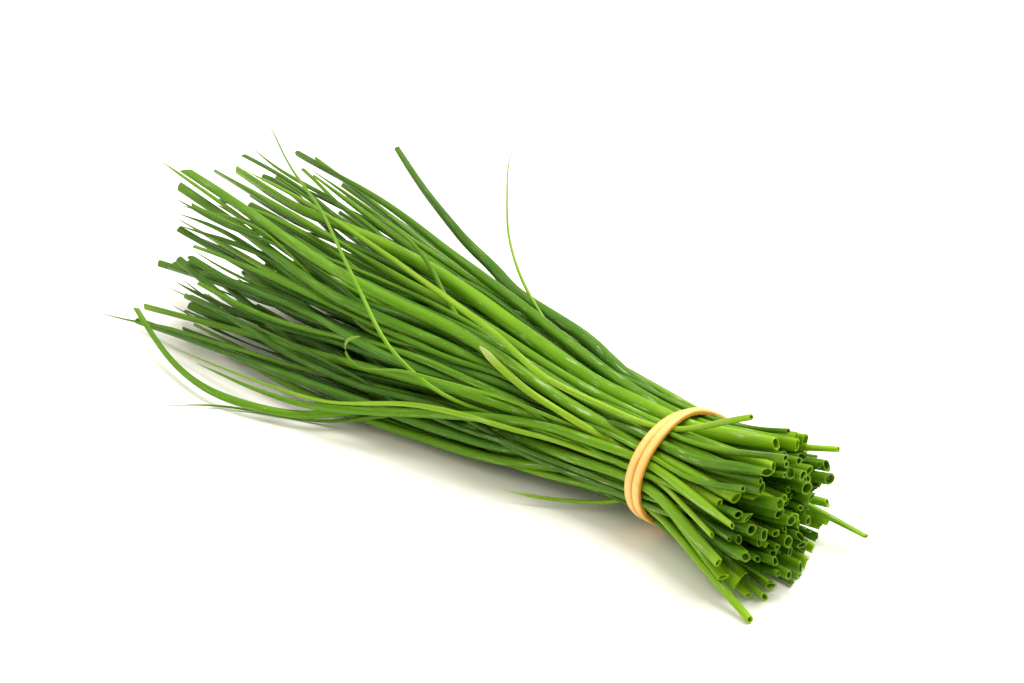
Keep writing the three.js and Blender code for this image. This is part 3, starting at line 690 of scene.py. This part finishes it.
# Where a leaf still has too little room at a station it gets thinner, but never thinner than THINNEST_HALF.
# So some leaves still overlap there, and others between stations, where they aren't pushed.
THINNEST_HALF = 0.5
STEEPEST = 0.12  # how much wider than between its neighbours a leaf may be at a station
apart = np.linalg.norm(spot[:, None] - framed[None, ..., :2], axis=-1) - framed[None, ..., 2]
room = np.nanmin(np.where(np.isnan(apart), np.inf, apart), axis=1)
between_hearts = np.linalg.norm(spot[:, None] - spot[None], axis=-1) - home_half[None]
between_hearts[np.arange(len(spot)), np.arange(len(spot))] = np.inf
room = np.minimum(room, between_hearts.min(1))
half = np.minimum(home_half, np.maximum(room, THINNEST_HALF))
for _ in range(2):
    half[:, 1:-1] = np.minimum(half[:, 1:-1], (half[:, :-2] + half[:, 2:]) / 2 + STEEPEST)


CUT, CUT_STRAY = 32.5, 2  # how far past the band the leaves are cut on average, and how much that varies
LOWEST_LONGER, TOP_SHORTER = 3.5, 5.5
CUT_LATEST, CUT_SLANT = 35, 0.87  # the furthest, in the middle, and how much less it is for each step in y
STICKING_OUT = {"by": 6, "height": 18.5, "reach": 3}  # a few on the far side


def cut_place(y, z, dice):
    """How far past the band a heart leaf is cut, from its place across (y) and up (z) near there.

    It varies round its average, and the lowest leaves are longer. But the knife came down slanting, so there
    is a furthest place, which is less towards the far side and at the top. A few on the far side stick out
    past it, by a bell curve round their height.
    """
    cut = CUT + LOWEST_LONGER * ease(-z, -9, -4) + CUT_STRAY * np.clip(dice.normal(), -1.5, 1.5)
    beside = (z - STICKING_OUT["height"]) / STICKING_OUT["reach"]
    sticks_out = STICKING_OUT["by"] * ease(y, 7, 10) * np.exp(-(beside**2))
    latest = CUT_LATEST - CUT_SLANT * y - TOP_SHORTER * ease(z, 21, 27) + sticks_out
    return min(cut, latest - dice.uniform(0, 3))


TIP, TIP_STRAY = -110, 8  # how far from the band the tips are on average, and how much that varies
UPPER_FURTHER, LOW_FURTHER = 54, 58
TIP_LATEST, TIP_SLANT = -184, 1.3  # the furthest, in the middle, and how much further for each step in y
SHADED = 0.1  # leaves whose share up is less than this lie in the shade of the others
SHADED_FURTHER = 6


def tip_place(across, up, y, dice):
    """How far from the band a heart leaf's tip is, from its shares across and up and its y near the tips.

    It varies round its average. The upper leaves reach further, and so do the low ones, most of all on the
    near side. But there is a furthest place, which is further on the far side and for the shaded leaves.
    """
    upper = ease(up, -0.1, 0.3)
    low = ease(-up - 0.35 * across, 0.0, 0.3) * (0.45 + 0.55 * ease(-across, -0.2, 0.3))
    tip = TIP - UPPER_FURTHER * upper - LOW_FURTHER * low + TIP_STRAY * np.clip(dice.normal(), -1.8, 1.8)
    latest = TIP_LATEST - SHADED_FURTHER * (up < SHADED) - TIP_SLANT * y
    return max(tip, latest + dice.uniform(0, 8))


HEART_SLOTS = ["leaf_mid_green", "leaf_deep_green", "leaf_deep_green", "leaf_mid_green"]
TRIMMED_SHARE = 0.7  # how many of the heart leaves are cut at the tip too
NARROWER, POINTED = 0.15, 0.5  # how much thinner a tip is than by the band, and how much more a grown one

for index in range(len(heart)):
    dice = np.random.default_rng(500 + index)
    cut = band_x + cut_place(*spot[index, AT_CUT], dice)
    tip = band_x + tip_place(*share[index], spot[index, AT_TIPS, 0], dice)
    reaches = (stations > tip + STATION / 2) & (stations < cut - STATION / 2)
    x = np.concatenate([[tip], stations[reaches], [cut]])
    columns = (spot[index, :, 0], spot[index, :, 1], half[index])
    y, z, width = (np.interp(x, stations, column) for column in columns)
    # From the band (out = 0) to the tip (out = 1) a leaf narrows a little, and more if it has a grown tip.
    trimmed = dice.uniform() < TRIMMED_SHARE
    out = np.clip((band_x - x) / (band_x - tip), 0, 1)
    width = width * (1 - NARROWER * out**2 if trimmed else 1 - NARROWER * out - POINTED * out**6)
    line = leaf_line(np.column_stack([x, y, np.maximum(z, width)]), width, rounding=100)
    form = common_form(line, dice)
    # Deep in the bunch the foot is darker: moist, and painted shade in the cut face.
    form["moist_shade"] = dice.uniform(0.8, 1.0)
    form["tip_squash"] *= 0.5  # tips inside the bunch stay rounder, and are cut straighter
    form["tip_slant"] *= 0.5
    slot = HEART_SLOTS[index % len(HEART_SLOTS)]
    # A low leaf gets the deep green and a darker tone: painted shade, cast by the leaves above it.
    if share[index, 1] < SHADED:
        slot = "leaf_deep_green"
        form["tone"] -= 1.0
    grow_leaf(f"leaf_heart_{index + 1:02d}", line, slot, dice, form)

# ======================================================================================================
# The rubber band
# One endless band of tan rubber, wound twice, so that two strands lie side by side. On the far side they
# change places, one over the other, and on top the front one has ridden up on the edge of the other.
# ======================================================================================================

BAND_WIDTH = 2.05
STRAND_OFFSET = 1.1  # how far each strand lies from the middle
CROSSING = {"clock": np.radians(205), "lift": 1.4, "side_reach": 0.2, "lift_reach": 0.03}
RIDE = {"clock": np.radians(96), "reach": np.radians(36), "lift": 1.0, "inward": 0.5}
BITE = {"clock": np.radians(122), "reach": np.radians(38), "depth": 1.3}  # where it sinks between the leaves
BAND_STEPS = 560  # points along both windings
BAND_SIDES = 24  # points round the section


def band_surface():
    """Points of the band, from how far along it they are (turn) and where round its section (around).

    The clock is the place round the bunch, counted from the near side up over the top. The section is a
    rounded oblong: a circle drawn out towards its corners by (cos^4 + sin^4)^(-1/4). The strand's side is
    s / sqrt(s^2 + 1) with s = (-sin(turn / 2) / 0.2)^3, so it changes sides once in each round. Where it
    changes, one strand is lifted over the other by lift / (1 + (sin^2(turn / 4) / 0.03)^3). The ride up is a
    bell curve, e^(-d^2), round its place on the front strand, and so is the bite, where both strands sink in
    between the leaves.
    """
    turn = 4 * np.pi * np.arange(BAND_STEPS)[:, None] / BAND_STEPS
    around = 2 * np.pi * np.arange(BAND_SIDES)[None] / BAND_SIDES
    corner = 1 / (np.cos(around) ** 4 + np.sin(around) ** 4) ** 0.25
    side = (-np.sin(turn / 2) / CROSSING["side_reach"]) ** 3
    clock = CROSSING["clock"] + turn
    from_ride = 2 * np.sin((clock - RIDE["clock"]) / 2) / RIDE["reach"]
    ride = np.where(side > 0, np.exp(-(from_ride**2)), 0)
    offset = STRAND_OFFSET * side / np.hypot(side, 1) - RIDE["inward"] * ride**2
    lift = CROSSING["lift"] / (1 + (np.sin(turn / 4) ** 2 / CROSSING["lift_reach"]) ** 3)
    lift = lift + RIDE["lift"] * ride
    from_bite = 2 * np.sin((clock - BITE["clock"]) / 2) / BITE["reach"]
    lift = lift - BITE["depth"] * np.exp(-(from_bite**2))
    across = offset + BAND_WIDTH / 2 * np.cos(around) * corner
    out = BAND_GAP + lift + BAND_THICKNESS / 2 * (1 + np.sin(around) * corner)
    y = waist[0] - np.cos(clock) * (INSIDE_BAND[0] + out)
    z = np.maximum(waist[1] + np.sin(clock) * (INSIDE_BAND[1] + out), TABLE_GAP)
    return np.stack([band_x + across, y, z], -1)


places = band_surface()
row, column = np.meshgrid(np.arange(BAND_STEPS), np.arange(BAND_SIDES), indexing="ij")
next_row, next_column = (row + 1) % BAND_STEPS, (column + 1) % BAND_SIDES
corners = [(row, column), (row, next_column), (next_row, next_column), (next_row, column)]
quads = np.stack([a * BAND_SIDES + b for a, b in corners], -1).reshape(-1, 4)
mesh = bpy.data.meshes.new("rubber_band_skin")
mesh.from_pydata((places.reshape(-1, 3) * MM).tolist(), [], quads.tolist())
mesh.polygons.foreach_set("use_smooth", np.ones(len(mesh.polygons), bool))

# What the rubber's colour follows: the place round the section, where 1 is its edge, and the length along it.
PATTERN_LENGTH = 840  # a few times the band's real length, which makes the pattern finer along it
section = 2 * np.pi * column / BAND_SIDES
strand = np.stack([np.cos(section), np.sin(section), PATTERN_LENGTH * row / BAND_STEPS], -1)
mesh.attributes.new("strand", "FLOAT_VECTOR", "POINT").data.foreach_set("vector", strand.ravel())

# The faces have to point outwards, whichever way round the corners were counted.
check = bmesh.new()
check.from_mesh(mesh)
if check.calc_volume(signed=True) < 0:
    bmesh.ops.reverse_faces(check, faces=check.faces)
    check.to_mesh(mesh)
check.free()
rubber_band = bpy.data.objects.new("rubber_band_skin", mesh)
bpy.context.scene.collection.objects.link(rubber_band)

TAN_COLOUR, LIGHT_TAN_COLOUR = (0.90, 0.50, 0.10, 1), (0.94, 0.58, 0.16, 1)
SCRATCH_COLOUR = (0.74, 0.33, 0.05, 1)
CROWN_HIGHLIGHT_COLOUR = (0.97, 0.70, 0.32, 1)  # a painted highlight along the outside of the strand
FLANK_SHADE_COLOUR = (0.74, 0.27, 0.03, 1)  # and painted shade at its sides, as in the groove between the strands

rubber = bpy.data.materials.new("tan rubber")
rubber.use_nodes = True
tree = rubber.node_tree
strand = node(tree, "ShaderNodeAttribute", attribute_name="strand")["Vector"]
clouds = stretched_noise(tree, strand, (0.8, 0.8, 0.12))
across, outwards, _ = node(tree, "ShaderNodeSeparateXYZ", {0: strand})
colour = mix(tree, between(tree, clouds, 0.3, 0.7), TAN_COLOUR, LIGHT_TAN_COLOUR)
scratches = stretched_noise(tree, strand, (5, 5, 0.05), detail=3.0)
colour = mix(tree, between(tree, scratches, 0.6, 0.4, 0, 0.3), colour, SCRATCH_COLOUR)
# A painted highlight on the outside of each strand.
crown_highlight = between(tree, outwards, 0.72, 1.0, 0.0, 0.5)
colour = mix(tree, crown_highlight, colour, CROWN_HIGHLIGHT_COLOUR)
# Painted shade at the sides of each strand.
flank_shade = between(tree, calculate(tree, "ABSOLUTE", across), 0.8, 1.0, 0.0, 0.7)
colour = mix(tree, flank_shade, colour, FLANK_SHADE_COLOUR)
bump = node(tree, "ShaderNodeBump", {"Strength": 0.4, "Distance": 0.1 * MM, "Height": scratches})
shader = tree.nodes["Principled BSDF"]
tree.links.new(colour, shader.inputs["Base Color"])
tree.links.new(bump[0], shader.inputs["Normal"])
shader.inputs["Roughness"].default_value = 0.42
shader.inputs["Subsurface Weight"].default_value = 0.25
shader.inputs["Subsurface Radius"].default_value = (1.0, 0.5, 0.2)
shader.inputs["Subsurface Scale"].default_value = 0.8 * MM
rubber_band.data.materials.append(rubber)
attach(rubber_band, "root")
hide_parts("rubber_band")

# ======================================================================================================
# The table, the light and the camera
# The bunch lies on a matt white table top, under a big soft lamp behind and above it and a weaker one in
# front, in a white room.
# ======================================================================================================

TABLE_SIZE = 60  # in metres, so that its edge is out of sight
bpy.ops.mesh.primitive_plane_add(size=TABLE_SIZE)
table = bpy.context.object
table.name = "table"
paper = bpy.data.materials.new("white table")
paper.use_nodes = True
shader = paper.node_tree.nodes["Principled BSDF"]
shader.inputs["Base Color"].default_value = (0.96, 0.96, 0.96, 1)
shader.inputs["Roughness"].default_value = 0.9
shader.inputs["Specular IOR Level"].default_value = 0.1
table.data.materials.append(paper)

# The walls give a warm fill, but look white themselves.
world = bpy.data.worlds.new("white room")
bpy.context.scene.world = world
world.use_nodes = True
tree = world.node_tree
fill = tree.nodes["Background"]
fill.inputs["Color"].default_value = (1.0, 0.90, 0.70, 1)
fill.inputs["Strength"].default_value = 0.62
wall = node(tree, "ShaderNodeBackground", {"Color": (1, 1, 1, 1), "Strength": 1.0})
seen = node(tree, "ShaderNodeLightPath")["Is Camera Ray"]
shown = node(tree, "ShaderNodeMixShader", {0: seen, 1: fill.outputs[0], 2: wall[0]})
tree.links.new(shown[0], tree.nodes["World Output"].inputs["Surface"])


def soft_sun(name, azimuth, elevation, strength, width, colour):
    """A far lamp whose disc is width degrees wide. Azimuth is counted from +X towards +Y."""
    data = bpy.data.lights.new(name, "SUN")
    data.energy = strength
    data.angle = np.radians(width)
    data.color = colour
    made = bpy.data.objects.new(name, data)
    level, height = np.radians(azimuth), np.radians(elevation)
    towards = Vector((np.cos(level) * np.cos(height), np.sin(level) * np.cos(height), np.sin(height)))
    made.rotation_euler = towards.to_track_quat("Z", "Y").to_euler()
    bpy.context.scene.collection.objects.link(made)


soft_sun("main light", 80, 64, 3.9, 50, (1.0, 0.99, 0.95))
soft_sun("side light", 230, 50, 0.9, 70, (1.0, 0.98, 0.93))

VIEW = {"azimuth": np.radians(47), "elevation": np.radians(26), "distance": 526.0}
BAND_RIGHT_OF_MIDDLE, BAND_BELOW_MIDDLE = 37.2, 26.9  # where the band's middle is in the view

# The band's middle is looked at from the azimuth, counted from -Y towards +X, and the elevation.
turned, tilted = VIEW["azimuth"], VIEW["elevation"]
right = np.array([np.cos(turned), np.sin(turned), 0])
back = np.array([np.sin(turned) * np.cos(tilted), -np.cos(turned) * np.cos(tilted), np.sin(tilted)])
up = np.cross(back, right)
place = np.array([band_x, *waist]) + back * VIEW["distance"]
place = place - right * BAND_RIGHT_OF_MIDDLE + up * BAND_BELOW_MIDDLE
camera_data = bpy.data.cameras.new("camera")
camera_data.lens = 85
camera_data.sensor_width = 36
camera_data.clip_start = 0.01
camera = bpy.data.objects.new("camera", camera_data)
turning = Matrix(np.column_stack([right, up, back]).tolist()).to_4x4()
camera.matrix_world = Matrix.Translation(Vector(place * MM)) @ turning
bpy.context.scene.collection.objects.link(camera)
bpy.context.scene.camera = camera
bpy.context.scene.view_settings.view_transform = "Standard"
